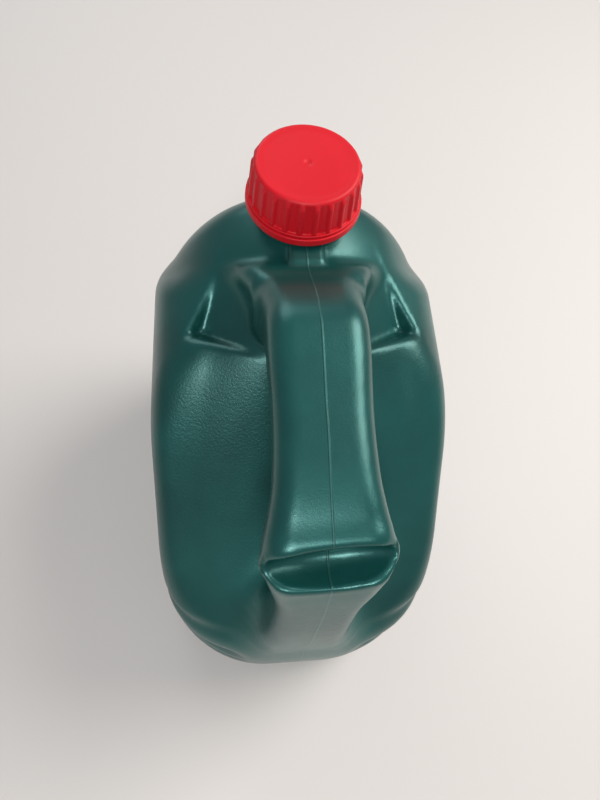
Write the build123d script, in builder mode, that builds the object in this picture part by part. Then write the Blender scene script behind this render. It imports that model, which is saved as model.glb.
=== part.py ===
"""Five litre motor oil bottle with a looped handle and a screw cap.

The bottle is blow moulded in one piece: a slab-sided body, a neck at the front, a top that
slopes down to the rear, and a hollow handle that loops over the slope. The plane X = 0 is
the mould's parting plane, -Y is the rear and +Z is up. The base stands on Z = 0. The rear
upper corner of the handle is dented, with a pinched tip on each side.
"""
from build123d import *
from math import atan2, cos, radians, sin
import os

# Driving sizes of the bottle, in millimetres
body_thick = 147.0
body_broad = 222.0
overall_high = 241.0
wall = 1.5
handle_wide = 38.0
cut_over = 2.0

# Rounding of the body
rear_corner_radius = 58.0
front_corner_radius = 48.0
base_edge_radius = 9.0
slope_edge_radius = 24.0
shoulder_edge_radius = 30.0
handle_edge_radius = 9.0

# Underside: a standing ring round a push-up
standing_ring_wide = 14.0
push_up_deep = 4.0

# Grip grooves round the two rear corners
groove_count = 3
groove_wide = 11.0
groove_floor_share = 0.35
groove_deep = 2.4
groove_pitch = 19.0
groove_lowest = 40.0
groove_turn_deg = 76.0

# Three-sided pocket each side of the handle's root: its deep corner and the three ends of its
# edges, as distance from the parting plane, from the rear and from the floor
pocket_corner = (41.0, 135.0, 183.0)
pocket_front = (42.0, 151.0, 199.0)
pocket_inner = (24.0, 126.0, 196.0)
pocket_outer = (51.0, 130.0, 193.0)
pocket_reach_share = 1.7

# Dent in the handle's rear upper corner
dent_mid_from_rear = 28.0
dent_mid_high = 216.5
dent_half_wide = 24.2
dent_skew = 3.0
dent_lip_rise = 8.0
dent_deep = 11.0
dent_narrow_share = 0.35
dent_lean = radians(37.6)

# Neck and its rings
neck_from_rear = 182.0
neck_bore_radius = 15.8
neck_radius = 17.6
neck_foot_radius = 22.0
neck_foot_high = 3.4
neck_bead_radius = 19.0
neck_flare_radius = 20.0
neck_bead_high = 1.6
shoulder_high = 216.0
tab_wide = 14.6
tab_long = 7.0
tab_deep = 8.0
neck_sunk = 9.0

# Screw cap
cap_top_radius = 22.0
cap_foot_radius = 23.0
cap_ledge_radius = 24.4
cap_ledge_high = 1.2
cap_inner_radius = 20.6
cap_top_thick = 1.8
cap_edge_radius = 1.6
rib_count = 24
rib_wide = 1.7
rib_proud = 1.0
rib_lead_in = 2.6
gate_mark_radius = 1.5
gate_mark_deep = 0.4

# Tamper band under the cap
band_radius = 25.25
band_high = 3.6
band_inner_radius = 20.5
band_edge_radius = 0.8
band_hook_radius = 18.2
band_hook_high = 1.0
band_gap = 0.35
run_clear = 0.3

# Liner disc in the cap
liner_thick = 1.2
liner_radius = 20.2
seal_gap = 0.1

# Places along the bottle as shares of its breadth from the rear and of its height.
# The side outlines run once round the front half with the shoulder, and round the rear half with
# the shelf under the handle's root, the slope and the lower slope.
front_shares = [(0.72, 0.0), (1.0, 0.0), (1.0, 0.70), (0.93, 0.83), (0.86, 0.88), (0.68, 0.888)]
front_shares += [(0.72, 0.80)]
rear_shares = [(0.0, 0.0), (0.93, 0.0), (0.93, 0.64), (0.735, 0.817), (0.57, 0.813), (0.493, 0.776)]
rear_shares += [(0.252, 0.535), (0.0, 0.35)]
slope_top, slope_foot, rear_foot = rear_shares[5:8]
# Top of the shoulder seen from the front: half breadth as a share of half the thickness.
dome_shares = [(1.0, 0.0), (1.0, 0.60), (0.86, 0.735), (0.60, 0.82), (0.30, 0.885)]
# Sections along the hollow handle, from the root buried under the neck, over the grip and down
# the rear leg: outer place, inner place, and half width as a share of half the grip's width.
handle_shares = [((0.743, 0.800), (0.631, 0.660), 2.00), ((0.685, 0.888), (0.600, 0.772), 1.74)]
handle_shares += [((0.631, 0.921), (0.560, 0.815), 1.24), ((0.577, 0.956), (0.528, 0.838), 1.07)]
handle_shares += [((0.518, 0.982), (0.487, 0.863), 1.02), ((0.464, 0.982), (0.450, 0.867), 1.01)]
handle_shares += [((0.360, 0.963), (0.342, 0.850), 0.97), ((0.261, 0.946), (0.257, 0.838), 1.01)]
handle_shares += [((0.189, 0.929), (0.221, 0.830), 1.12), ((0.131, 0.905), (0.198, 0.813), 1.275)]
handle_shares += [((0.092, 0.859), (0.182, 0.780), 1.13), ((0.063, 0.747), (0.167, 0.705), 0.99)]
handle_shares += [((0.036, 0.606), (0.158, 0.581), 0.95), ((0.023, 0.466), (0.160, 0.446), 1.02)]
handle_shares += [((0.031, 0.360), (0.165, 0.330), 1.14), ((0.072, 0.250), (0.190, 0.210), 1.20)]

half_broad = body_broad / 2
half_thick = body_thick / 2
half_grip = handle_wide / 2
neck_y = neck_from_rear - half_broad
band_low = shoulder_high + neck_foot_high + run_clear
cap_low = band_low + band_high + band_gap
cap_top = overall_high
cap_high = cap_top - cap_low
neck_top = cap_top - cap_top_thick - liner_thick - seal_gap
bead_low = band_low + band_hook_high + run_clear


def side_point(share):
    """A place in the parting plane from its share of the breadth and of the height."""
    return share[0] * body_broad - half_broad, share[1] * overall_high


def plan_section(inset):
    """Plan of the body: a rectangle with its rounds larger at the rear than at the front."""
    with BuildSketch(Plane.XY.offset(inset)) as plan:
        Rectangle(body_thick - 2 * inset, body_broad - 2 * inset)
        fillet(plan.vertices().group_by(Axis.Y)[0], rear_corner_radius - inset)
        fillet(plan.vertices().group_by(Axis.Y)[-1], front_corner_radius - inset)
    return plan.sketch


def slope_tunnel(low, high, inset):
    """A long rounded bar whose top runs through two places of the side outline."""
    y_low, z_low = side_point(low)
    y_high, z_high = side_point(high)
    lean = atan2(z_high - z_low, y_high - y_low)
    run = Vector(0, cos(lean), sin(lean))
    rise = Vector(0, -sin(lean), cos(lean))
    half_deep = overall_high
    centre = Vector(0, y_low, z_low) - rise * (half_deep + inset)
    with BuildPart() as tunnel:
        with BuildSketch(Plane(origin=centre, x_dir=(1, 0, 0), z_dir=run)):
            RectangleRounded(body_thick - 2 * inset, 2 * half_deep, slope_edge_radius - inset)
        extrude(amount=2 * overall_high, both=True)
    return tunnel.part


def side_slab(shares, inset):
    """A side outline carried right across the body, drawn in by inset."""
    with BuildPart() as slab:
        with BuildSketch(Plane.YZ):
            with BuildLine():
                Polyline(*[side_point(share) for share in shares], close=True)
            make_face()
            offset(amount=-inset)
        extrude(amount=body_thick, both=True)
    return slab.part


def shoulder_arch(inset):
    """The shoulder's outline seen from the front, carried along the whole body."""
    with BuildPart() as arch:
        with BuildSketch(Plane.XZ) as front:
            with BuildLine():
                right = [(x * half_thick, z * overall_high) for x, z in dome_shares]
                left = [(-x, z) for x, z in reversed(right)]
                Polyline(*right, *left, close=True)
            make_face()
            fillet(front.vertices().filter_by(lambda v: v.Y > base_edge_radius), shoulder_edge_radius)
            offset(amount=-inset)
        extrude(amount=body_broad, both=True)
    return arch.part


def body_form(inset):
    """The body without its handle, drawn in by inset: the shoulder joined to the sloping rear."""
    with BuildPart() as block:
        add(plan_section(inset))
        extrude(amount=overall_high)
        fillet(block.edges().group_by(Axis.Z)[0], base_edge_radius - inset)
    with BuildPart() as shoulder:
        add(block.part)
        add(side_slab(front_shares, inset), mode=Mode.INTERSECT)
        add(shoulder_arch(inset), mode=Mode.INTERSECT)
    with BuildPart() as form:
        add(block.part)
        add(side_slab(rear_shares, inset), mode=Mode.INTERSECT)
        add(shoulder_arch(inset), mode=Mode.INTERSECT)
        add(slope_tunnel(slope_foot, slope_top, inset), mode=Mode.INTERSECT)
        add(slope_tunnel(rear_foot, slope_foot, inset), mode=Mode.INTERSECT)
        add(shoulder.part)
    return form.part


def handle_form(inset):
    """The hollow handle, lofted through its sections and drawn in by inset, with buried ends."""
    with BuildPart() as form:
        for outer_share, inner_share, wide_share in handle_shares:
            outer = Vector(0, *side_point(outer_share))
            inner = Vector(0, *side_point(inner_share))
            across = outer - inner
            thick = across.length - 2 * inset
            broad = 2 * (wide_share * half_grip - inset)
            section = Plane(origin=(outer + inner) / 2, x_dir=(1, 0, 0), z_dir=across.cross(Vector(1, 0, 0)))
            with BuildSketch(section):
                RectangleRounded(broad, thick, handle_edge_radius - inset)
        loft(ruled=True)
    return form.part


def lens_face(half_wide, skew, rise, plane):
    """A lens of two arcs between two pointed ends that lie skew of level."""
    with BuildSketch(plane) as lens:
        with BuildLine():
            left = (-half_wide, -skew)
            right = (half_wide, skew)
            ThreePointArc(left, (0, rise), right)
            ThreePointArc(right, (0, -rise), left)
        make_face()
    return lens.sketch


def dent_form(grow):
    """What the dent takes from the handle: a lens that narrows inwards, grown all round by grow."""
    mouth = Vector(0, dent_mid_from_rear - half_broad, dent_mid_high)
    outward = Vector(0, -sin(dent_lean), cos(dent_lean))
    with BuildPart() as form:
        for level, share in ((dent_deep / 2, 1 + dent_narrow_share / 2), (-dent_deep - grow, 1 - dent_narrow_share)):
            plane = Plane(origin=mouth + outward * level, x_dir=(1, 0, 0), z_dir=outward)
            half_wide = dent_half_wide * share + cut_over + grow
            add(lens_face(half_wide, dent_skew, dent_lip_rise * share + grow, plane))
        loft()
    return form.part


def pocket_forms(grow):
    """The two three-sided pockets between the shelf, the handle's root and the shoulder.

    The deep corner moves out along all three edges, so that each side moves out by grow."""
    places = (pocket_corner, pocket_front, pocket_inner, pocket_outer)
    corner, *ends = [Vector(x, y - half_broad, z) for x, y, z in places]
    edges = [end - corner for end in ends]
    tip = corner
    for number, edge in enumerate(edges):
        facing = edges[number - 2].cross(edges[number - 1]).normalized()
        tip = tip - edge * (grow / abs(edge.dot(facing)))
    rim = [tip + edge * pocket_reach_share for edge in edges]
    with BuildPart() as form:
        add(Solid(Shell([Face(Wire.make_polygon(points)) for points in (
            (rim[0], rim[1], rim[2]), (tip, rim[1], rim[0]), (tip, rim[2], rim[1]), (tip, rim[0], rim[2]))])))
        mirror(about=Plane.YZ)
    return form.part


def groove_forms(grow):
    """Rings that cut the finger grooves round the two rear corners."""
    corner_x = half_thick - rear_corner_radius
    corner_y = rear_corner_radius - half_broad
    mouth = half_thick + cut_over
    floor = half_thick - groove_deep - grow
    half_mouth = groove_wide / 2 + grow
    half_floor = groove_wide * groove_floor_share / 2 + grow
    with BuildPart() as form:
        for step in range(groove_count):
            high = groove_lowest + step * groove_pitch
            with BuildSketch(Plane.XZ.offset(-corner_y)):
                with BuildLine():
                    Polyline((mouth, high - half_mouth), (mouth, high + half_mouth), (floor, high + half_floor),
                             (floor, high - half_floor), close=True)
                make_face()
            turn = Axis((corner_x, corner_y, 0), (0, 0, -1))
            revolve(axis=turn, revolution_arc=groove_turn_deg)
        mirror(about=Plane.YZ)
    return form.part


def neck_rings():
    """Foot ring, neck wall and bead, turned about the neck's axis, with the bore still filled."""
    with BuildPart() as form:
        with BuildSketch(Plane.XY.offset(shoulder_high - neck_sunk)):
            with Locations((0, neck_y)):
                Circle(neck_foot_radius)
        extrude(amount=neck_sunk + neck_foot_high)
        with BuildSketch(Plane.XY.offset(shoulder_high)):
            with Locations((0, neck_y)):
                Circle(neck_radius)
        extrude(amount=neck_top - shoulder_high)
        with BuildSketch(Plane.XY.offset(bead_low)):
            with Locations((0, neck_y)):
                Circle(neck_bead_radius)
        extrude(amount=neck_bead_high)
        with BuildSketch(Plane.XY.offset(shoulder_high + neck_foot_high)):
            with Locations((0, neck_y - neck_foot_radius)):
                Rectangle(tab_wide, 2 * tab_long)
        extrude(amount=-tab_deep)
    return form.part


def make_bottle():
    """The blow-moulded bottle: an outside skin, less the same form drawn in by the wall."""
    with BuildPart() as bottle:
        add(body_form(0.0))
        add(pocket_forms(0.0), mode=Mode.SUBTRACT)
        add(handle_form(0.0))
        add(groove_forms(0.0), mode=Mode.SUBTRACT)
        add(dent_form(0.0), mode=Mode.SUBTRACT)
        add(neck_rings())
        with BuildSketch(Plane.XY) as push_up:
            add(plan_section(standing_ring_wide).moved(Location((0, 0, -standing_ring_wide))))
        extrude(amount=push_up_deep, mode=Mode.SUBTRACT)
        with BuildPart(mode=Mode.PRIVATE) as hollow:
            add(body_form(wall))
            add(pocket_forms(wall), mode=Mode.SUBTRACT)
            add(handle_form(wall))
            add(groove_forms(wall), mode=Mode.SUBTRACT)
            add(dent_form(wall), mode=Mode.SUBTRACT)
            with BuildSketch(Plane.XY):
                add(plan_section(standing_ring_wide - wall).moved(Location((0, 0, wall - standing_ring_wide))))
            extrude(amount=push_up_deep + wall, mode=Mode.SUBTRACT)
            with BuildSketch(Plane.XZ.offset(-neck_y)):
                with BuildLine():
                    foot_top = shoulder_high + neck_foot_high
                    Polyline((0, shoulder_high - neck_sunk), (neck_flare_radius, shoulder_high - neck_sunk),
                             (neck_flare_radius, shoulder_high), (neck_bore_radius, foot_top),
                             (neck_bore_radius, neck_top), (0, neck_top), close=True)
                make_face()
            revolve(axis=Axis((0, neck_y, 0), (0, 0, 1)))
        add(hollow.part, mode=Mode.SUBTRACT)
    return bottle.part


def cap_mantle():
    """Half outline of the cap's outside, turned into the solid that the ribs stand on."""
    with BuildPart() as mantle:
        with BuildSketch(Plane.XZ.offset(-neck_y)) as half:
            with BuildLine():
                Polyline((0, cap_low), (cap_ledge_radius, cap_low), (cap_ledge_radius, cap_low + cap_ledge_high),
                         (cap_foot_radius, cap_low + cap_ledge_high), (cap_top_radius, cap_top), (0, cap_top),
                         close=True)
            make_face()
            fillet(half.vertices().group_by(Axis.Y)[-1].sort_by(Axis.X)[-1], cap_edge_radius)
        revolve(axis=Axis((0, neck_y, 0), (0, 0, 1)))
    return mantle.part


def make_cap():
    """The ribbed screw cap: a turned shell with upright ribs that end on the ledge."""
    with BuildPart() as cap:
        add(cap_mantle())
        with BuildSketch(Plane.XY.offset(cap_low + cap_ledge_high)) as ribs:
            with Locations((0, neck_y)):
                with PolarLocations(cap_foot_radius, rib_count):
                    Rectangle(2 * rib_proud, rib_wide)
        extrude(amount=cap_high - cap_ledge_high - rib_lead_in)
        with BuildSketch(Plane.XY.offset(cap_low)):
            with Locations((0, neck_y)):
                Circle(cap_inner_radius)
        extrude(amount=cap_high - cap_top_thick, mode=Mode.SUBTRACT)
        with BuildSketch(Plane.XY.offset(cap_top)):
            with Locations((0, neck_y)):
                Circle(gate_mark_radius)
        extrude(amount=-gate_mark_deep, mode=Mode.SUBTRACT)
    return cap.part


def make_band():
    """The tamper band: a plain ring whose inner hook sits under the neck's bead."""
    with BuildPart() as band:
        with BuildSketch(Plane.XY.offset(band_low)):
            with Locations((0, neck_y)):
                Circle(band_radius)
                Circle(band_inner_radius, mode=Mode.SUBTRACT)
        extrude(amount=band_high)
        with BuildSketch(Plane.XY.offset(band_low)):
            with Locations((0, neck_y)):
                Circle(band_inner_radius)
                Circle(band_hook_radius, mode=Mode.SUBTRACT)
        extrude(amount=band_hook_high)
        chamfer(band.edges().group_by(Axis.Z)[0].sort_by(SortBy.LENGTH)[-1], band_edge_radius)
    return band.part


def make_liner():
    """The soft sealing disc that lies in the cap's top."""
    with BuildPart() as liner:
        with BuildSketch(Plane.XY.offset(cap_top - cap_top_thick - liner_thick)):
            with Locations((0, neck_y)):
                Circle(liner_radius)
        extrude(amount=liner_thick)
    return liner.part


os.makedirs("parts", exist_ok=True)
pieces = {"bottle": make_bottle(), "cap": make_cap(), "tamper_band": make_band(), "cap_liner": make_liner()}
for name, piece in pieces.items():
    piece.label = name
    export_step(piece, f"parts/{name}.step")
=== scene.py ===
"""Looks of a five litre motor oil bottle: a blow-moulded jug with a looped handle and a screw cap.

Lengths below are in millimetres in the row frame (X across the parting plane, -Y the rear, +Z up)
and become metres when a mesh is made. The jug's skin is one field of signed distances, worked out
with numpy and turned into a mesh by a surface net.
"""
import math

import bpy
import numpy as np
from mathutils import Matrix, Vector


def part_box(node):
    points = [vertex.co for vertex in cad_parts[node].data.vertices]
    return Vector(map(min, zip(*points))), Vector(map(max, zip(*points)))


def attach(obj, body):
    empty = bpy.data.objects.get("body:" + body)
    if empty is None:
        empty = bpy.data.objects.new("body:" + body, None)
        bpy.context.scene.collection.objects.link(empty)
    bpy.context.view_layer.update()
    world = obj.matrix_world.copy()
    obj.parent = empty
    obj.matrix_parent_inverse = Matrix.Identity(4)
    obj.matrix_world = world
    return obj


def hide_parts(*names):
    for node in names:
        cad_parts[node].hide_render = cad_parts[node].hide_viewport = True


MM = 0.001
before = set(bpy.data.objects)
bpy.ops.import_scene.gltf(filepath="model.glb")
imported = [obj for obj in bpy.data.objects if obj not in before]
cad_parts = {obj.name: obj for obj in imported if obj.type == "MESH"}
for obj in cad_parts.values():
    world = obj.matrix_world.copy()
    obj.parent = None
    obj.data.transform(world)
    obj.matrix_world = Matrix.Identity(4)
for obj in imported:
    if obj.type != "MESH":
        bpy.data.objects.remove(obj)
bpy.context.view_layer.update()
bottle_high = np.array(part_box("bottle")[1]) / MM
cap_low, cap_high = (np.array(corner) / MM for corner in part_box("cap"))
band_low, band_high = (np.array(corner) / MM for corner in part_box("tamper_band"))
liner_low, liner_high = (np.array(corner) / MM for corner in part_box("cap_liner"))

HALF_THICK = bottle_high[0]
HALF_BROAD = bottle_high[1]
OVERALL_HIGH = cap_high[2]
NECK_TOP = bottle_high[2]
NECK_Y = (cap_low[1] + cap_high[1]) / 2

# Shape of the jug
REAR_CORNER = 58.0
FRONT_CORNER = 48.0
CROWN = 0.8
END_CROWN = 0.48
CROWN_MIDDLE = 95.0
CROWN_REACH = 110.0
SIDE_ROUND = 11.0
SHOULDER_ROUND = 36.0
SHOULDER_HIGH = 216.0
DOME_DROP = 52.0
DOME_FRONT = 42.0
DOME_REAR = 118.0
SHELF_FRONT = (163.0, 197.0)
SHELF_REAR = (126.0, 196.0)
SHELF_ROUND = 44.0
CREST = (109.0, 187.0)
TEE_TOP = (130.5, 228.8)
TEE_FOOT = (150.5, 213.5)
TEE_DROP = 7.0
TEE_TIP = 41.0
SLOPE_FOOT = (56.0, 129.5)
REAR_TOP = (0.0, 84.0)
SLOPE_CROWN = 3.0
PUSH_UP = 4.0
PUSH_UP_ROUND = 4.0
STANDING_RING = 14.0
STANDING_EDGE = 2.0
STANDING_LEVEL = 20.0
SKIN_WALL = 1.5
NECK_HOLE = 17.6
NECK_HOLE_LOW = 205.0
NECK_CUT = 212.0
INSIDE_HOLE_LOW = 190.0
INSIDE_HOLE_OVER = 8.0
FIELD_SLACK = 0.8

# Rounds where the parts of the body meet
CREASE_ROUND = 12.0
SHELF_EDGE = 6.0
CREST_ROUND = 14.0
TEE_ROUND = 5.0
SHOULDER_REAR = 8.0
SHOULDER_SHELF = 5.0
BASE_ROUND = 13.0

# Block behind the neck
TAB_BEHIND = 25.0
TAB_HIGH = 212.0
TAB_HALF_SIZES = (6.3, 6.0, 5.0)
TAB_EDGE = 1.0
TAB_ROUND = 2.5

# The handle's sections: outer place, inner place (shares of breadth and height) and half width
HANDLE_SHARES = [
    ((0.743, 0.800), (0.631, 0.660), 2.40), ((0.685, 0.888), (0.600, 0.772), 1.86),
    ((0.631, 0.921), (0.560, 0.815), 1.24), ((0.577, 0.956), (0.528, 0.838), 1.07),
    ((0.518, 0.982), (0.487, 0.863), 1.02), ((0.464, 0.982), (0.450, 0.867), 1.01),
    ((0.360, 0.963), (0.342, 0.850), 0.97), ((0.261, 0.946), (0.257, 0.838), 1.01),
    ((0.189, 0.929), (0.221, 0.830), 1.12), ((0.131, 0.905), (0.198, 0.813), 1.22),
    ((0.092, 0.859), (0.182, 0.780), 1.13), ((0.063, 0.747), (0.167, 0.705), 0.93),
    ((0.036, 0.606), (0.158, 0.581), 0.93), ((0.023, 0.466), (0.160, 0.446), 1.10),
    ((0.031, 0.360), (0.165, 0.330), 1.42), ((0.072, 0.250), (0.190, 0.210), 1.70)]
HALF_GRIP = 19.0
HANDLE_ROUND = 9.0
FLARE_FROM = 130.0
FLARE_HALF = 23.0
FLARE_RATE = 0.0175
ROOT_ROUND = 5.0
FOOT_ROUND = 13.0
FOOT_FROM = 165.0
FOOT_OVER = 40.0
PATH_STEPS = 421
SIDE_CELL = 1.0

# Dent in the rear upper corner
DENT_MID = (27.5, 216.0)
DENT_LEAN = math.radians(37.6)
DENT_HALF_WIDE = 26.0
DENT_HALF_HIGH = 7.6
DENT_DEEP = 13.0
DENT_SKEW = 0.075
DENT_BOW = 1.6
DENT_OUT = 1.0
DENT_ROUND = 2.2
PINCH_PROUD = 2.6
PINCH_FROM = 14.0
PINCH_OVER = 10.0
PINCH_HIGH = 4.5
PINCH_DOWN = 0.5
LIP_PROUD = 0.9
LIP_APART = 8.5
LIP_HIGH = 4.0
LIP_DOWN = 0.3
LIP_END = 26.0
LIP_OVER = 8.0
CORNER_OUT = 2.0
CORNER_REACH = 16.0

# Pocket corners on the +X side: the deep corner and the three ends of its edges
POCKET_CORNER = (46.0, 137.0, 183.0)
POCKET_FRONT = (40.0, 153.0, 195.0)
POCKET_INNER = (24.0, 122.5, 193.5)
POCKET_OUTER = (54.0, 131.0, 191.5)
POCKET_TOP = 214.0
POCKET_CREASE = 3.0
POCKET_EDGE = 3.5

# Grip grooves round the rear corners
GROOVE_DEEP = 3.0
GROOVE_PITCH = 19.0
GROOVE_LOW = 30.0
GROOVE_HIGH = 103.0
GROOVE_FIRST = 40.0
GROOVE_FADE = 9.0
GROOVE_POWER = 1.5
GROOVE_BESIDE = 24.0
GROOVE_BESIDE_OVER = 14.0
GROOVE_BEHIND = 52.0
GROOVE_BEHIND_OVER = 16.0


def smooth_min(a, b, k):
    """The lower of two fields, rounded over a width k where they cross."""
    h = np.maximum(k - np.abs(a - b), 0.0) / k
    return np.minimum(a, b) - h * h * k * 0.25


def smooth_max(a, b, k):
    """The higher of two fields, rounded over a width k where they cross."""
    return -smooth_min(-a, -b, k)


def ease(t):
    """Zero below 0, one above 1, and an even S between."""
    t = np.clip(t, 0.0, 1.0)
    return t * t * (3.0 - 2.0 * t)


def bell(t):
    """A bump of height one at t = 0 that falls off like a Gaussian."""
    return np.exp(-t * t)


def from_rear(y, z):
    """Row-frame y and z of a place given by its distance from the rear wall and its height."""
    return y - HALF_BROAD, z


def from_share(place):
    """Row-frame y and z of a place given as shares of the breadth and of the height."""
    return place[0] * 2 * HALF_BROAD - HALF_BROAD, place[1] * OVERALL_HIGH


def box_field(half_sizes, edge, *offsets):
    """Distance from a box with rounded edges, from offsets to its middle along each axis."""
    over = [np.abs(offset) - half for offset, half in zip(offsets, half_sizes)]
    outside = np.sqrt(sum(np.maximum(part, 0.0) ** 2 for part in over))
    return outside + np.minimum(np.maximum(np.maximum(over[0], over[1]), over[2]), 0.0) - edge


def plan_field(x, y, z):
    """Distance from a crowned rounded rectangle in plan: corner rounds differ front and rear."""
    corner = REAR_CORNER + (FRONT_CORNER - REAR_CORNER) * ease((y + HALF_BROAD / 2) / HALF_BROAD)
    bow = ((z - CROWN_MIDDLE) / CROWN_REACH) ** 2
    crown = CROWN * ((y / HALF_BROAD) ** 2 + bow)
    qx = np.abs(x) - (HALF_THICK - crown - corner)
    qy = np.abs(y) - (HALF_BROAD - END_CROWN * bow - corner)
    outside = np.sqrt(np.maximum(qx, 0.0) ** 2 + np.maximum(qy, 0.0) ** 2)
    return outside + np.minimum(np.maximum(qx, qy), 0.0) - corner


def shoulder_field(x, y, z):
    """Height above the shoulder, which falls from the neck as the square of a stretched distance."""
    dy = y - NECK_Y
    reach = np.where(dy > 0, DOME_FRONT, DOME_REAR)
    out2 = (x / HALF_THICK) ** 2 + (dy / reach) ** 2
    return (z - (SHOULDER_HIGH - DOME_DROP * out2)) * FIELD_SLACK


def shelf_field(x, y, z):
    """Distance above the shelf behind the shoulder: level across, with wide rounds at its sides."""
    y0, z0 = from_rear(*SHELF_REAR)
    y1, z1 = from_rear(*SHELF_FRONT)
    rise = (z1 - z0) / (y1 - y0)
    top = z - (z0 + (y - y0) * rise)
    qx = np.abs(x) - (HALF_THICK - SHELF_ROUND)
    qt = top + SHELF_ROUND
    return np.hypot(np.maximum(qx, 0), np.maximum(qt, 0)) + np.minimum(np.maximum(qx, qt), 0) - SHELF_ROUND


def plane_field(y, z, low, high):
    """Distance above the plane, level in x, through two places of the side view."""
    y0, z0 = from_rear(*low)
    y1, z1 = from_rear(*high)
    run = math.hypot(y1 - y0, z1 - z0)
    return (-(y - y0) * (z1 - z0) + (z - z0) * (y1 - y0)) / run


def pocket_field(x, y, z):
    """Inside of a trihedral recess: the highest of three planes through its deep corner."""
    corner = np.array(POCKET_CORNER)
    edges = [np.array(end) - corner for end in (POCKET_FRONT, POCKET_INNER, POCKET_OUTER)]
    ax = np.abs(x) - corner[0]
    py = y - (corner[1] - HALF_BROAD)
    pz = z - corner[2]
    field = None
    for first, second, third in ((0, 1, 2), (0, 2, 1), (1, 2, 0)):
        normal = np.cross(edges[first], edges[second])
        normal = normal / np.linalg.norm(normal)
        if normal @ edges[third] > 0:
            normal = -normal
        side = normal[0] * ax + normal[1] * py + normal[2] * pz
        field = side if field is None else smooth_max(field, side, POCKET_CREASE)
    return field


def hermite(knots, values, at):
    """A smooth curve through even knots, with each slope taken from the two neighbours."""
    slope = np.gradient(values)
    i = np.clip(at.astype(int), 0, len(knots) - 2)
    t = at - i
    a, b = values[i], values[i + 1]
    return ((2 * t**3 - 3 * t**2 + 1) * a + (t**3 - 2 * t**2 + t) * slope[i]
            + (3 * t**2 - 2 * t**3) * b + (t**3 - t**2) * slope[i + 1])


def handle_lines():
    """Fine samples of the handle's outer line, inner line and half width along its run."""
    outer = np.array([from_share(place) for place, _, _ in HANDLE_SHARES])
    inner = np.array([from_share(place) for _, place, _ in HANDLE_SHARES])
    wide = np.array([share * HALF_GRIP for _, _, share in HANDLE_SHARES])
    knots = np.arange(len(wide), dtype=float)
    fine = np.linspace(0, len(wide) - 1, PATH_STEPS)
    table = np.column_stack([outer, inner, wide])
    samples = np.column_stack([hermite(knots, column, fine) for column in table.T])
    return samples[:, 0:2], samples[:, 2:4], samples[:, 4]


def segment_gap(y, z, start, end):
    """Distance in the side view from each place to the segment between start and end."""
    run = end - start
    t = np.clip(((y - start[0]) * run[0] + (z - start[1]) * run[1]) / (run @ run), 0.0, 1.0)
    return np.hypot(y - start[0] - t * run[0], z - start[1] - t * run[1])


def handle_tables():
    """Two tables over the side view: signed distance to the handle's outline, and half width there.

    The outline runs along the outer line and back along the inner one. A place is inside it where
    the outline's crossings to its right are odd in number, and the half width is that of the nearest
    sample of the line midway between the two."""
    outer, inner, wide = handle_lines()
    ring = np.concatenate([outer, inner[::-1]])[::3]
    axis_y = np.arange(-HALF_BROAD - 6.0, HALF_BROAD, SIDE_CELL)
    axis_z = np.arange(0.0, OVERALL_HIGH + 8.0, SIDE_CELL)
    y, z = np.meshgrid(axis_y, axis_z, indexing="ij")
    gap = np.full(y.shape, 1e3)
    odd = np.zeros(y.shape, bool)
    for start, end in zip(ring, np.roll(ring, -1, axis=0)):
        gap = np.minimum(gap, segment_gap(y, z, start, end))
        spans = (start[1] > z) != (end[1] > z)
        rise = end[1] - start[1] if end[1] != start[1] else 1.0
        odd ^= spans & (y < start[0] + (z - start[1]) / rise * (end[0] - start[0]))
    middle = ((outer + inner) / 2)[::4]
    best = np.full(y.shape, 1e9)
    half_wide = np.zeros(y.shape)
    for place, half in zip(middle, wide[::4]):
        away = (y - place[0]) ** 2 + (z - place[1]) ** 2
        half_wide = np.where(away < best, half, half_wide)
        best = np.minimum(away, best)
    return axis_y, axis_z, np.where(odd, -gap, gap), soften(half_wide)


def soften(table):
    """The table with each value averaged with its neighbours, four times over."""
    for _ in range(4):
        padded = np.pad(table, 1, mode="edge")
        table = (padded[:-2, 1:-1] + padded[2:, 1:-1] + padded[1:-1, :-2] + padded[1:-1, 2:] + 2 * table) / 6
    return table


def look_up(table, y, z):
    """Value of a side-view table at each place, evened between the four nearest entries."""
    axis_y, axis_z = SIDE_TABLES[0], SIDE_TABLES[1]
    u = np.clip((y - axis_y[0]) / SIDE_CELL, 0, len(axis_y) - 1.001)
    v = np.clip((z - axis_z[0]) / SIDE_CELL, 0, len(axis_z) - 1.001)
    i, j = u.astype(int), v.astype(int)
    a, b = u - i, v - j
    return ((table[i, j] * (1 - a) + table[i + 1, j] * a) * (1 - b)
            + (table[i, j + 1] * (1 - a) + table[i + 1, j + 1] * a) * b)


def handle_field(x, y, z):
    """Distance from a bar whose side view is the handle's outline, with rounded long edges.

    Near the root its upright sides flare with the square of the distance towards the neck."""
    y, z = np.broadcast_arrays(y, z)
    across = look_up(SIDE_TABLES[2], y, z)
    ahead = np.maximum(y + HALF_BROAD - FLARE_FROM, 0.0)
    wide = np.minimum(look_up(SIDE_TABLES[3], y, z), FLARE_HALF + FLARE_RATE * ahead ** 2)
    qx = np.abs(x) - wide + HANDLE_ROUND
    qs = across + HANDLE_ROUND
    outside = np.hypot(np.maximum(qx, 0), np.maximum(qs, 0))
    return outside + np.minimum(np.maximum(qx, qs), 0) - HANDLE_ROUND


def dent_frame(x, y, z):
    """Places in the dent's own frame: across, up the corner, and out of it."""
    y0, z0 = from_rear(*DENT_MID)
    up = (y - y0) * math.cos(DENT_LEAN) + (z - z0) * math.sin(DENT_LEAN) - DENT_SKEW * x
    out = -(y - y0) * math.sin(DENT_LEAN) + (z - z0) * math.cos(DENT_LEAN)
    return x, up, out


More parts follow.
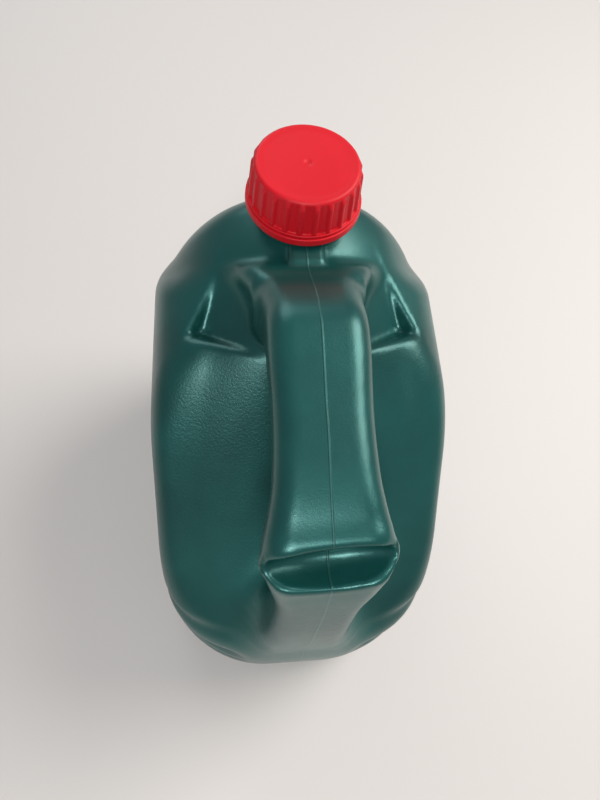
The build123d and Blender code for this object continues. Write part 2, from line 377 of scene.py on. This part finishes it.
def dent_field(x, y, z):
    """Inside of the popped-in hollow: a lens across the corner, deepest in its middle."""
    u, v, w = dent_frame(x, y, z)
    span = np.clip(1.0 - (u / DENT_HALF_WIDE) ** 2, 0.02, None)
    high = DENT_HALF_HIGH * span ** 0.55
    deep = DENT_DEEP * span ** 0.5
    bowed = v + DENT_BOW * (1.0 - (u / DENT_HALF_WIDE) ** 2)
    ring = np.sqrt((bowed / high) ** 2 + ((w - DENT_OUT) / deep) ** 2)
    return (ring - 1.0) * np.minimum(high, deep) * FIELD_SLACK


def pressed_out(x, y, z):
    """How far the dent pushes the handle out: two pinched ends, and a lip above and below it."""
    u, v, w = dent_frame(x, y, z)
    near_corner = bell((w - CORNER_OUT) / CORNER_REACH)
    pinch = bell((v + PINCH_DOWN) / PINCH_HIGH) * ease((np.abs(u) - PINCH_FROM) / PINCH_OVER)
    lips = bell((np.abs(v + LIP_DOWN) - LIP_APART) / LIP_HIGH) * ease((LIP_END - np.abs(u)) / LIP_OVER)
    return (PINCH_PROUD * pinch + LIP_PROUD * lips) * near_corner


def groove_depth(x, y, z):
    """Depth of the grip grooves: a powered cosine up the wall, faded away from the rear corners."""
    beside = ease((np.abs(x) - GROOVE_BESIDE) / GROOVE_BESIDE_OVER)
    behind = ease((-y - GROOVE_BEHIND) / GROOVE_BEHIND_OVER)
    band = ease((z - GROOVE_LOW) / GROOVE_FADE) * ease((GROOVE_HIGH - z) / GROOVE_FADE)
    wave = 0.5 + 0.5 * np.cos(2 * np.pi * (z - GROOVE_FIRST) / GROOVE_PITCH)
    return GROOVE_DEEP * beside * behind * band * wave ** GROOVE_POWER


def body_field(x, y, z):
    """The body without its handle: the shoulder joined to the shelf, both cut by the rear slope."""
    walls = plan_field(x, y, z) + groove_depth(x, y, z)
    slope = plane_field(y, z, SLOPE_FOOT, CREST)
    rear = plane_field(y, z, REAR_TOP, SLOPE_FOOT)
    slope = smooth_min(slope, rear, CREASE_ROUND) + SLOPE_CROWN * (x / HALF_THICK) ** 2
    behind = plane_field(y, z, SHELF_REAR, CREST)
    shelf = smooth_max(shelf_field(x, y, z), -behind, SHELF_EDGE)
    shelf = smooth_max(shelf, slope, CREST_ROUND)
    tee = -plane_field(y, z, TEE_FOOT, TEE_TOP) + TEE_DROP * (x / TEE_TIP) ** 2
    shelf = smooth_max(shelf, tee, TEE_ROUND)
    shoulder = smooth_max(walls, shoulder_field(x, y, z), SHOULDER_ROUND)
    shoulder = smooth_max(shoulder, slope, SHOULDER_REAR)
    body = smooth_min(shoulder, smooth_max(walls, shelf, SIDE_ROUND), SHOULDER_SHELF)
    body = smooth_max(body, -z, BASE_ROUND)
    pocket = np.maximum(pocket_field(x, y, z), z - POCKET_TOP)
    return smooth_max(body, -pocket, POCKET_EDGE)


def outer_field(x, y, z):
    """Signed distance from the jug's outside, negative inside the jug."""
    body = body_field(x, y, z)
    grip = handle_field(x, y, z) - pressed_out(x, y, z)
    form = smooth_min(body, grip, ROOT_ROUND + FOOT_ROUND * ease((FOOT_FROM - z) / FOOT_OVER))
    tab = box_field(TAB_HALF_SIZES, TAB_EDGE, x, y - (NECK_Y - TAB_BEHIND), z - TAB_HIGH)
    form = smooth_min(form, tab, TAB_ROUND)
    return smooth_max(form, -dent_field(x, y, z), DENT_ROUND)


def neck_gap(x, y):
    """Distance in plan from the hole that the neck's tube fills."""
    return np.hypot(x, y - NECK_Y) - NECK_HOLE


def pushed_up(form, x, y, z, high):
    """The form with its base pushed up to a height inside the standing ring."""
    inside_ring = plan_field(x, y, z * 0 + STANDING_LEVEL) + STANDING_RING
    return smooth_max(form, -smooth_max(inside_ring, z - high, PUSH_UP_ROUND), STANDING_EDGE)


def skin_field(x, y, z):
    """The outside with a hole for the neck and the push-up in the base."""
    form = outer_field(x, y, z)
    hole = np.maximum(neck_gap(x, y), NECK_HOLE_LOW - z)
    return pushed_up(np.maximum(form, -hole), x, y, z, PUSH_UP)


def hollow_field(x, y, z):
    """The inside: the outside drawn in by the wall, with the neck's hole reaching down to it."""
    form = pushed_up(outer_field(x, y, z) + SKIN_WALL, x, y, z, PUSH_UP + SKIN_WALL)
    hole = np.maximum(neck_gap(x, y), z - SHOULDER_HIGH - INSIDE_HOLE_OVER)
    return np.minimum(form, np.maximum(hole, INSIDE_HOLE_LOW - z))


def surface_net(field, low, cell):
    """One vertex per cell that the surface crosses, at the mean of its edge crossings, and one
    quad per crossed grid edge, joining the four cells round that edge."""
    inside = field < 0
    shape = np.array(field.shape) - 1
    total = np.zeros(tuple(shape) + (3,), np.float32)
    count = np.zeros(tuple(shape), np.float32)
    for axis in range(3):
        for a in (0, 1):
            for b in (0, 1):
                start = [0, 0, 0]
                others = [i for i in range(3) if i != axis]
                start[others[0]], start[others[1]] = a, b
                first = tuple(slice(s, s + n) for s, n in zip(start, shape))
                start[axis] = 1
                second = tuple(slice(s, s + n) for s, n in zip(start, shape))
                f0, f1 = field[first], field[second]
                crossed = inside[first] != inside[second]
                t = np.where(crossed, f0 / np.where(crossed, f0 - f1, 1.0), 0.0)
                place = [0.0, 0.0, 0.0]
                place[others[0]], place[others[1]] = float(a), float(b)
                for i in range(3):
                    total[..., i] += crossed * (t if i == axis else place[i])
                count += crossed
    used = count > 0
    index = -np.ones(tuple(shape), int)
    index[used] = np.arange(used.sum())
    cells = np.argwhere(used)
    verts = (cells + total[used] / count[used][:, None]) * cell + low
    faces = []
    for axis in range(3):
        others = [i for i in range(3) if i != axis]
        start = tuple(slice(0, n) if i == axis else slice(1, n) for i, n in enumerate(shape))
        end = tuple(slice(1, n + 1) if i == axis else slice(1, n) for i, n in enumerate(shape))
        a, b = inside[start], inside[end]
        for flag, turn in ((a & ~b, 1), (~a & b, -1)):
            at = np.argwhere(flag)
            for i in others:
                at[:, i] += 1
            steps = [(0, 0), (-1, 0), (-1, -1), (0, -1)]
            ring = []
            for p, q in steps:
                cellat = at.copy()
                cellat[:, others[0]] += p
                cellat[:, others[1]] += q
                ring.append(index[cellat[:, 0], cellat[:, 1], cellat[:, 2]])
            quad = np.column_stack(ring)
            if (turn == 1) == (axis == 1):
                quad = quad[:, ::-1]
            faces.append(quad)
    return verts, np.concatenate(faces)


def settle(verts, field, cell):
    """Moves each vertex along the field's slope until the field there is nothing."""
    step = 0.05 * cell
    for _ in range(3):
        x, y, z = verts.T
        f = field(x, y, z)
        slope = np.column_stack([field(x + step, y, z) - f, field(x, y + step, z) - f,
                                 field(x, y, z + step) - f]) / step
        size = np.maximum((slope ** 2).sum(1), 0.05)
        move = -f / size
        verts = verts + np.clip(move, -cell, cell)[:, None] * slope
    return verts


def mesh_object(name, verts, faces, smooth=True):
    """A mesh piece from vertices in millimetres and faces given as rows of vertex numbers."""
    mesh = bpy.data.meshes.new(name)
    mesh.from_pydata((np.asarray(verts) * MM).tolist(), [], np.asarray(faces).tolist())
    mesh.update()
    if smooth:
        mesh.polygons.foreach_set("use_smooth", np.ones(len(mesh.polygons), bool))
    piece = bpy.data.objects.new(name, mesh)
    bpy.context.scene.collection.objects.link(piece)
    return piece


def net_of(field, cell, low, high):
    """A settled surface net of a field over a box."""
    axes = [np.arange(lo, hi + cell, cell) for lo, hi in zip(low, high)]
    x, y, z = axes[0][:, None, None], axes[1][None, :, None], axes[2][None, None, :]
    values = field(x, y, z).astype(np.float32)
    verts, faces = surface_net(values, np.array([axis[0] for axis in axes]), cell)
    return settle(verts, field, cell), faces


def drop_faces(verts, faces, gone):
    """The mesh less the faces whose corners are all marked, and less the corners left unused."""
    faces = faces[~gone[faces].all(axis=1)]
    used = np.zeros(len(verts), bool)
    used[faces.ravel()] = True
    new = np.cumsum(used) - 1
    return verts[used], new[faces]


SIDE_TABLES = handle_tables()
SKIN_CELL = 1.72
INSIDE_CELL = 4.0
NET_MARGIN = 3.0
HOLE_SLACK = 0.4
INSIDE_SLACK = 1.0


def make_skin():
    """The jug's outside skin and its inside, both open where the neck's tube stands."""
    low = np.array([-HALF_THICK, -HALF_BROAD, 0.0]) - NET_MARGIN
    high = np.array([HALF_THICK, HALF_BROAD, OVERALL_HIGH]) + NET_MARGIN
    verts, faces = net_of(skin_field, SKIN_CELL, low, high)
    x, y, z = verts.T
    verts, faces = drop_faces(verts, faces, (neck_gap(x, y) < HOLE_SLACK) & (z < NECK_CUT))
    verts_in, faces_in = net_of(hollow_field, INSIDE_CELL, low, high)
    x, y, z = verts_in.T
    verts_in, faces_in = drop_faces(verts_in, faces_in, (neck_gap(x, y) < INSIDE_SLACK) & (z > NECK_CUT))
    both = np.concatenate([verts, verts_in])
    return both, np.concatenate([faces, faces_in[:, ::-1] + len(verts)])


def turned(profile, turns, name, ripple=None):
    """A closed profile of (radius, height) rows turned about the neck's axis. ripple(angle, row)
    adds to each radius, so that ribs and threads are part of the same surface."""
    profile = np.asarray(profile, float)
    rows = len(profile)
    angle = np.linspace(0, 2 * np.pi, turns, endpoint=False)
    radius = np.repeat(profile[:, 0][:, None], turns, axis=1)
    height = np.repeat(profile[:, 1][:, None], turns, axis=1)
    if ripple is not None:
        radius = radius + ripple(angle[None, :], radius, height)
    verts = np.column_stack([(radius * np.cos(angle)).ravel(), (radius * np.sin(angle)).ravel() + NECK_Y,
                             height.ravel()])
    i = np.arange(rows)[:, None]
    j = np.arange(turns)[None, :]
    a = i * turns + j
    b = i * turns + (j + 1) % turns
    c = ((i + 1) % rows) * turns + (j + 1) % turns
    d = ((i + 1) % rows) * turns + j
    faces = np.stack([a, b, c, d], axis=-1).reshape(-1, 4)
    return mesh_object(name, verts, faces)


# Screw cap, band, liner and neck, turned about the neck's axis
PITCH = 6.0
RIB_COUNT = 24
RIB_PHASE = math.radians(6.0)
RIB_WIDE = 1.9
RIB_PROUD = 1.0
CAP_FOOT = 23.0
CAP_TOP_RADIUS = 22.0
CAP_LEDGE = 24.4
CAP_LEDGE_HIGH = 1.2
CAP_INNER = 20.6
CAP_TOP_THICK = 1.8
CAP_EDGE = 1.6
CAP_LEDGE_EDGE = 0.35
CAP_DISH = 0.22
GATE_RADIUS = 1.1
GATE_RIM = 1.7
GATE_DEEP = 0.45
RIB_EDGE = 0.5
FLUTE_DEEP = 0.16
FLUTE_REACH = 3.2
RIB_LEAD = 3.0
THREAD_SHARE = 0.20
THREAD_FLANK = 0.10
CAP_THREAD_FADE = 1.5
CAP_THREAD_LOW = 0.6
CAP_THREAD_TOP = 5.0
BAND_INNER = 20.5
BAND_HOOK = 18.2
BAND_HOOK_HIGH = 1.0
BAND_EDGE = 0.8
BAND_TOP_EDGE = 0.4
LINER_EDGE = 0.4
POLE = 0.02
NECK_BORE = 15.8
NECK_RADIUS = 17.6
NECK_FOOT = 22.0
NECK_BEAD = 19.0
BEAD_LOW = band_low[2] + 1.3
BEAD_HIGH = 1.6
THREAD_LOW = BEAD_LOW + BEAD_HIGH + 1.2
THREAD_PROUD = 1.5
NECK_THREAD_FADE = 1.6
NECK_RIM = 0.7
NECK_FOOT_EDGE = 0.6
NECK_FOOT_GAP = 0.3
NECK_ROOT = 19.1
NECK_ROOT_LOW = NECK_HOLE_LOW + 2.0
BAND_TURNS = 240
NECK_TURNS = 192
LINER_TURNS = 96
SAME = 0.01
SCREW_SEGMENTS = 16


def arc(centre, radius, start_deg, end_deg, count):
    """Points along an arc in a half section, from one angle to another."""
    a = np.radians(np.linspace(start_deg, end_deg, count))
    return np.column_stack([centre[0] + radius * np.cos(a), centre[1] + radius * np.sin(a)])


def line(start, end, count):
    """Even points from start towards end, without the end itself."""
    t = np.linspace(0, 1, count, endpoint=False)[:, None]
    return np.asarray(start) * (1 - t) + np.asarray(end) * t


def helix_ridge(angle, height, shift, share):
    """One on the crest of a right-handed thread and zero between its turns."""
    phase = height / PITCH - angle / (2 * np.pi) + shift
    off = np.abs(phase - np.round(phase))
    return ease((share - off) / THREAD_FLANK)


def rib_ripple(angle, radius, height):
    """Upright ribs on the cap's outside, faded at their tops, and the thread on its inside."""
    turn = (angle - RIB_PHASE) * RIB_COUNT / (2 * np.pi)
    off = np.abs(turn - np.round(turn)) * 2 * np.pi * CAP_FOOT / RIB_COUNT
    rib = ease(((RIB_WIDE + RIB_EDGE) / 2 - off) / RIB_EDGE)
    flute = FLUTE_DEEP * ease((FLUTE_REACH - off) / (FLUTE_REACH / 2)) * (1 - rib)
    outside = (radius > CAP_INNER + 0.9) & (height > cap_low[2] + CAP_LEDGE_HIGH + 0.05)
    lead = ease((cap_high[2] - RIB_EDGE - height) / RIB_LEAD)
    ribs = (RIB_PROUD * rib - flute) * lead * outside
    inside = (np.abs(radius - CAP_INNER) < SAME) & (height > cap_low[2] + CAP_THREAD_LOW)
    fade = ease((height - cap_low[2] - CAP_THREAD_LOW) / CAP_THREAD_FADE)
    fade = fade * ease((cap_high[2] - CAP_THREAD_TOP - height) / CAP_THREAD_FADE)
    return ribs - THREAD_PROUD * helix_ridge(angle, height, 0.5, THREAD_SHARE) * fade * inside


def make_cap():
    """The cap's closed section: inside wall, foot, ledge, tapered outside, round edge and top."""
    low, top = cap_low[2], cap_high[2]
    under = top - CAP_TOP_THICK
    ledge = low + CAP_LEDGE_HIGH
    rim = CAP_TOP_RADIUS - CAP_EDGE
    rows = [
        line((POLE, under), (CAP_INNER, under), 8),
        line((CAP_INNER, under - SAME), (CAP_INNER, low), 56),
        line((CAP_INNER, low), (CAP_LEDGE, low), 3),
        arc((CAP_LEDGE - CAP_LEDGE_EDGE, low + CAP_LEDGE_EDGE), CAP_LEDGE_EDGE, -80, 0, 4),
        arc((CAP_LEDGE - CAP_LEDGE_EDGE, ledge - CAP_LEDGE_EDGE), CAP_LEDGE_EDGE, 0, 90, 5),
        line((CAP_LEDGE - 0.9, ledge), (CAP_FOOT + 0.25, ledge), 2),
        line((CAP_FOOT + 0.02, ledge + 0.12), (CAP_TOP_RADIUS, top - CAP_EDGE), 34),
        arc((CAP_TOP_RADIUS - CAP_EDGE, top - CAP_EDGE), CAP_EDGE, 0, 90, 9),
        line((rim - 0.7, top), (rim - 2.4, top - CAP_DISH), 4),
        line((rim - 2.4, top - CAP_DISH), (GATE_RIM, top - 0.12), 14),
        line((GATE_RIM - 0.2, top - 0.14), (GATE_RADIUS, top - GATE_DEEP), 3),
        line((GATE_RADIUS - 0.1, top - GATE_DEEP), (POLE, top - GATE_DEEP), 3),
    ]
    return turned(np.concatenate(rows), RIB_COUNT * SCREW_SEGMENTS, "screw_cap", rib_ripple)


def make_band():
    """The tamper band's closed section: hook inside, rounded foot and a slightly round face."""
    low, top = band_low[2], band_high[2]
    outer, hook_top = band_high[0], low + BAND_HOOK_HIGH
    face_top = outer - 0.12
    rows = [
        line((BAND_HOOK, low), (outer - BAND_EDGE, low), 5),
        arc((outer - BAND_EDGE, low + BAND_EDGE), BAND_EDGE, -90, 0, 7),
        line((outer, low + BAND_EDGE + 0.2), (face_top, top - BAND_TOP_EDGE), 6),
        arc((face_top - BAND_TOP_EDGE, top - BAND_TOP_EDGE), BAND_TOP_EDGE, 0, 90, 5),
        line((outer - 0.9, top), (BAND_INNER, top), 4),
        line((BAND_INNER, top), (BAND_INNER, hook_top), 4),
        line((BAND_INNER, hook_top), (BAND_HOOK, hook_top), 2),
        line((BAND_HOOK, hook_top - 0.05), (BAND_HOOK, low), 2),
    ]
    return turned(np.concatenate(rows), BAND_TURNS, "tamper_ring")


def make_liner():
    """The liner disc with soft edges."""
    low, top = liner_low[2], liner_high[2]
    outer = liner_high[0]
    rows = [
        line((POLE, low), (outer - LINER_EDGE, low), 8),
        arc((outer - LINER_EDGE, low + LINER_EDGE), LINER_EDGE, -90, 0, 4),
        arc((outer - 0.3, top - 0.3), 0.3, 0, 90, 4),
        line((outer - 0.5, top), (POLE, top), 6),
    ]
    return turned(np.concatenate(rows), LINER_TURNS, "liner_disc")


def neck_ripple(angle, radius, height):
    """The neck's outside thread, faded at both ends."""
    outside = np.abs(radius - NECK_RADIUS) < SAME
    fade = ease((height - THREAD_LOW) / NECK_THREAD_FADE)
    fade = fade * ease((NECK_TOP - NECK_THREAD_FADE - height) / NECK_THREAD_FADE)
    return THREAD_PROUD * helix_ridge(angle, height, 0.0, THREAD_SHARE) * fade * outside


def make_neck():
    """The neck's closed section: bore, rounded rim, threaded wall, bead, foot ring and root."""
    foot_top = band_low[2] - NECK_FOOT_GAP
    bead_top = BEAD_LOW + BEAD_HIGH
    rim_low = NECK_TOP - NECK_RIM
    wall = NECK_RADIUS + POLE
    foot = NECK_FOOT + 0.5
    rows = [
        line((NECK_BORE, NECK_ROOT_LOW), (NECK_BORE, rim_low), 12),
        arc((NECK_BORE + NECK_RIM, rim_low), NECK_RIM, 180, 90, 5),
        arc((NECK_RADIUS - NECK_RIM, rim_low), NECK_RIM, 90, 0, 5),
        line((NECK_RADIUS, rim_low - 0.2), (NECK_RADIUS, bead_top), 60),
        line((NECK_RADIUS, bead_top), (NECK_BEAD, BEAD_LOW + 0.6), 5),
        line((NECK_BEAD, BEAD_LOW + 0.5), (NECK_BEAD, BEAD_LOW), 2),
        line((NECK_BEAD, BEAD_LOW), (wall, BEAD_LOW), 3),
        line((wall, BEAD_LOW), (wall, foot_top), 3),
        line((wall, foot_top), (NECK_FOOT - NECK_FOOT_EDGE, foot_top), 4),
        arc((NECK_FOOT - NECK_FOOT_EDGE, foot_top - NECK_FOOT_EDGE), NECK_FOOT_EDGE, 90, 0, 5),
        line((NECK_FOOT, foot_top - 0.9), (foot, SHOULDER_HIGH - 1.0), 4),
        line((foot, SHOULDER_HIGH - 1.0), (NECK_ROOT, NECK_ROOT_LOW), 4),
        line((NECK_ROOT, NECK_ROOT_LOW), (NECK_BORE + 0.2, NECK_ROOT_LOW), 3),
    ]
    return turned(np.concatenate(rows), NECK_TURNS, "neck_finish", neck_ripple)


class Shade:
    """A shader socket that takes part in sums: each operator adds one Math node."""

    def __init__(self, tree, socket):
        self.tree, self.socket = tree, socket

    def join(self, operation, *others):
        node = self.tree.nodes.new("ShaderNodeMath")
        node.operation = operation
        for slot_in, value in zip(node.inputs, (self,) + others):
            if isinstance(value, Shade):
                self.tree.links.new(value.socket, slot_in)
            else:
                slot_in.default_value = value
        return Shade(self.tree, node.outputs[0])

    def __add__(self, other):
        return self.join("ADD", other)

    def __radd__(self, other):
        return self.join("ADD", other)

    def __sub__(self, other):
        return self.join("SUBTRACT", other)

    def __rsub__(self, other):
        return (self * -1.0) + other

    def __mul__(self, other):
        return self.join("MULTIPLY", other)

    def __rmul__(self, other):
        return self.join("MULTIPLY", other)

    def size(self):
        return self.join("ABSOLUTE")

    def step(self, start, end):
        """Zero before start, one after end, eased between."""
        node = self.tree.nodes.new("ShaderNodeMapRange")
        node.interpolation_type = "SMOOTHSTEP"
        node.inputs["From Min"].default_value = start
        node.inputs["From Max"].default_value = end
        self.tree.links.new(self.socket, node.inputs["Value"])
        return Shade(self.tree, node.outputs["Result"])


class Finish:
    """A material under construction, with one method for every node that isn't plain maths."""

    def __init__(self, name):
        self.material = bpy.data.materials.new(name)
        self.material.use_nodes = True
        self.tree = self.material.node_tree
        self.shader = self.tree.nodes["Principled BSDF"]

    def node(self, kind, settings=None, out=0, **sockets):
        made = self.tree.nodes.new("ShaderNode" + kind)
        for key, value in (settings or {}).items():
            setattr(made, key, value)
        for key, value in sockets.items():
            target = made.inputs[key.replace("_", " ")]
            if isinstance(value, Shade):
                self.tree.links.new(value.socket, target)
            else:
                target.default_value = value
        return Shade(self.tree, made.outputs[out])

    def place(self):
        return self.node("TexCoord", out="Object")

    def noise(self, scale, detail=2.0, rough=0.5):
        """Noise with about scale lumps in a metre, on object coordinates."""
        return self.node("TexNoise", Vector=self.place(), Scale=scale, Detail=detail, Roughness=rough)

    def mix(self, factor, first, second):
        made = self.tree.nodes.new("ShaderNodeMix")
        made.data_type = "RGBA"
        for key, value in ((0, factor), (6, first), (7, second)):
            if isinstance(value, Shade):
                self.tree.links.new(value.socket, made.inputs[key])
            else:
                made.inputs[key].default_value = value
        return Shade(self.tree, made.outputs[2])

    def bump(self, height, strength, distance, under=None):
        sockets = {"Height": height, "Strength": strength, "Distance": distance}
        if under is not None:
            sockets["Normal"] = under
        return self.node("Bump", **sockets)

    def wire(self, socket, value):
        if isinstance(value, Shade):
            self.tree.links.new(value.socket, self.shader.inputs[socket])
        else:
            self.shader.inputs[socket].default_value = value


def axis_of(finish, letter):
    """One coordinate of the object position."""
    made = finish.tree.nodes.new("ShaderNodeSeparateXYZ")
    finish.tree.links.new(finish.place().socket, made.inputs[0])
    return Shade(finish.tree, made.outputs[letter])


def green_plastic():
    """Pearly satin green: slight colour drift, a fine orange-peel grain, stronger on the slope
    under the handle, and the mould's parting line as a hair-thin ridge at x = 0."""
    f = Finish("green_plastic")
    deep, mid = (0.005, 0.065, 0.059, 1), (0.011, 0.11, 0.098, 1)
    drift = f.noise(16.0, 3.0).step(0.3, 0.7)
    x, y, z = (axis_of(f, c) for c in "XYZ")
    wander = (f.noise(30.0, 1.0) - 0.5) * 0.0007
    offset = (x + wander).size()
    seam = 1.0 - offset.step(0.0001, 0.00055)
    f.wire("Base Color", f.mix(seam * 0.55, f.mix(drift, deep, mid), (0.05, 0.16, 0.145, 1)))
    grain = f.noise(900.0, 3.0, 0.6)
    fine = f.noise(2600.0, 2.0)
    slope_zone = z.step(0.105, 0.125) * (1.0 - z.step(0.185, 0.2)) * (1.0 - y.step(0.0, 0.02))
    height = grain * (0.25 + 0.75 * slope_zone) + fine * 0.25
    normal = f.bump(height, 0.3, 0.0006)
    normal = f.bump(seam, 0.6, 0.0005, normal)
    f.wire("Normal", normal)
    f.wire("Roughness", 0.30 + f.noise(220.0, 2.0) * 0.08 + slope_zone * 0.04)
    f.wire("Metallic", 0.5)
    f.wire("Coat Weight", 0.25)
    f.wire("Coat Roughness", 0.28)
    return f.material


def inside_plastic():
    """The neck: the same green, plainer."""
    f = Finish("neck_plastic")
    f.wire("Base Color", f.mix(f.noise(60.0), (0.008, 0.07, 0.063, 1), (0.013, 0.1, 0.09, 1)))
    f.wire("Normal", f.bump(f.noise(1400.0), 0.1, 0.0003))
    f.wire("Roughness", 0.35 + f.noise(300.0) * 0.08)
    f.wire("Metallic", 0.25)
    return f.material


def red_plastic():
    """Satin red of the cap and its band, with a fine moulded grain."""
    f = Finish("red_plastic")
    f.wire("Base Color", f.mix(f.noise(45.0, 3.0), (0.56, 0.0045, 0.0115, 1), (0.66, 0.0065, 0.017, 1)))
    f.wire("Normal", f.bump(f.noise(1800.0, 3.0, 0.6), 0.14, 0.0003))
    f.wire("Roughness", 0.4 + f.noise(160.0) * 0.1)
    f.wire("Specular IOR Level", 0.3)
    return f.material


def white_foam():
    """Off-white foamed liner with small cells."""
    f = Finish("white_foam")
    f.wire("Base Color", f.mix(f.noise(700.0), (0.74, 0.73, 0.69, 1), (0.86, 0.85, 0.82, 1)))
    f.wire("Normal", f.bump(f.noise(2400.0), 0.3, 0.0003))
    f.wire("Roughness", 0.75)
    return f.material


def floor_paint():
    """A plain pale floor."""
    f = Finish("pale_floor")
    f.wire("Base Color", (0.66, 0.62, 0.59, 1))
    f.wire("Roughness", 0.6)
    return f.material


def finish_piece(piece, material, body, slot, *nodes):
    """Gives a piece its material and its body, and hides the imported parts of the nodes it stands for. The
    slot argument is not used.
    """
    piece.data.materials.clear()
    piece.data.materials.append(material)
    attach(piece, body)
    if nodes:
        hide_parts(*nodes)


def make_floor():
    """A large plane under the standing ring."""
    half = 3000.0
    corners = [(-half, -half, 0), (half, -half, 0), (half, half, 0), (-half, half, 0)]
    floor = mesh_object("floor", corners, [(0, 1, 2, 3)], smooth=False)
    floor.data.materials.append(floor_paint())


def make_lights():
    """Soft studio light: a pale world, a broad key from the right, and a weaker fill."""
    world = bpy.data.worlds.new("studio")
    bpy.context.scene.world = world
    world.use_nodes = True
    background = world.node_tree.nodes["Background"]
    background.inputs["Color"].default_value = (0.8, 0.84, 0.9, 1)
    background.inputs["Strength"].default_value = 0.32
    lamps = [("key", (0.9, 0.35, 1.15), 0.9, 16.0, (1.0, 0.97, 0.93)),
             ("front", (-0.35, 1.3, 0.9), 1.0, 4.5, (0.93, 0.97, 1.0)),
             ("rear", (-0.15, -0.95, 1.5), 0.5, 14.0, (1.0, 1.0, 1.0))]
    for name, place, size, power, colour in lamps:
        data = bpy.data.lights.new(name, "AREA")
        data.shape = "DISK"
        data.size = size
        data.energy = power
        data.color = colour
        lamp = bpy.data.objects.new(name, data)
        lamp.location = place
        aim = np.array([0.0, 0.0, 0.12]) - np.array(place)
        lamp.rotation_mode = "QUATERNION"
        lamp.rotation_quaternion = Vector(aim).to_track_quat("-Z", "Y")
        bpy.context.scene.collection.objects.link(lamp)


# The photograph's camera, worked out from the floor's joints and the jug's symmetry plane
CAMERA_PLACE = (-31.7, -111.0, 415.0)
CAMERA_YAW = math.radians(15.5)
CAMERA_PITCH = math.radians(65.2)
CAMERA_ROLL = math.radians(12.9)
FOCAL_PIXELS = 585.0
FRAME_LONG_PIXELS = 800.0
SENSOR = 36.0


def make_camera():
    """A camera from a level view turned by yaw, tilted down by pitch and rolled about its axis."""
    yaw, pitch, roll = CAMERA_YAW, CAMERA_PITCH, CAMERA_ROLL
    right = Vector((math.cos(yaw), -math.sin(yaw), 0.0))
    ahead = Vector((math.sin(yaw), math.cos(yaw), 0.0))
    down = Vector((0.0, 0.0, -1.0))
    x_axis = (math.cos(roll) * right + math.sin(roll) * math.sin(pitch) * ahead
              - math.sin(roll) * math.cos(pitch) * down)
    y_down = (math.sin(roll) * right - math.cos(roll) * math.sin(pitch) * ahead
              + math.cos(roll) * math.cos(pitch) * down)
    forward = math.cos(pitch) * ahead + math.sin(pitch) * down
    turn = Matrix((x_axis, -y_down, -forward)).transposed()
    data = bpy.data.cameras.new("camera")
    data.sensor_width = SENSOR
    data.sensor_fit = "AUTO"
    data.lens = FOCAL_PIXELS / FRAME_LONG_PIXELS * SENSOR
    data.clip_start = 0.01
    camera = bpy.data.objects.new("camera", data)
    camera.rotation_mode = "QUATERNION"
    camera.rotation_quaternion = turn.to_quaternion()
    camera.location = Vector(CAMERA_PLACE) * MM
    bpy.context.scene.collection.objects.link(camera)
    bpy.context.scene.camera = camera


skin = mesh_object("jug_skin", *make_skin())
neck = make_neck()
cap = make_cap()
band = make_band()
liner = make_liner()
green, neck_green, red, foam = green_plastic(), inside_plastic(), red_plastic(), white_foam()
finish_piece(skin, green, "bottle", "bottle_plastic", "bottle")
finish_piece(neck, neck_green, "bottle", "bottle_plastic")
finish_piece(band, red, "bottle", "cap_plastic", "tamper_band")
finish_piece(cap, red, "cap", "cap_plastic", "cap")
finish_piece(liner, foam, "liner", "liner_foam", "cap_liner")
make_floor()
make_lights()
make_camera()
bpy.context.scene.view_settings.view_transform = "Standard"
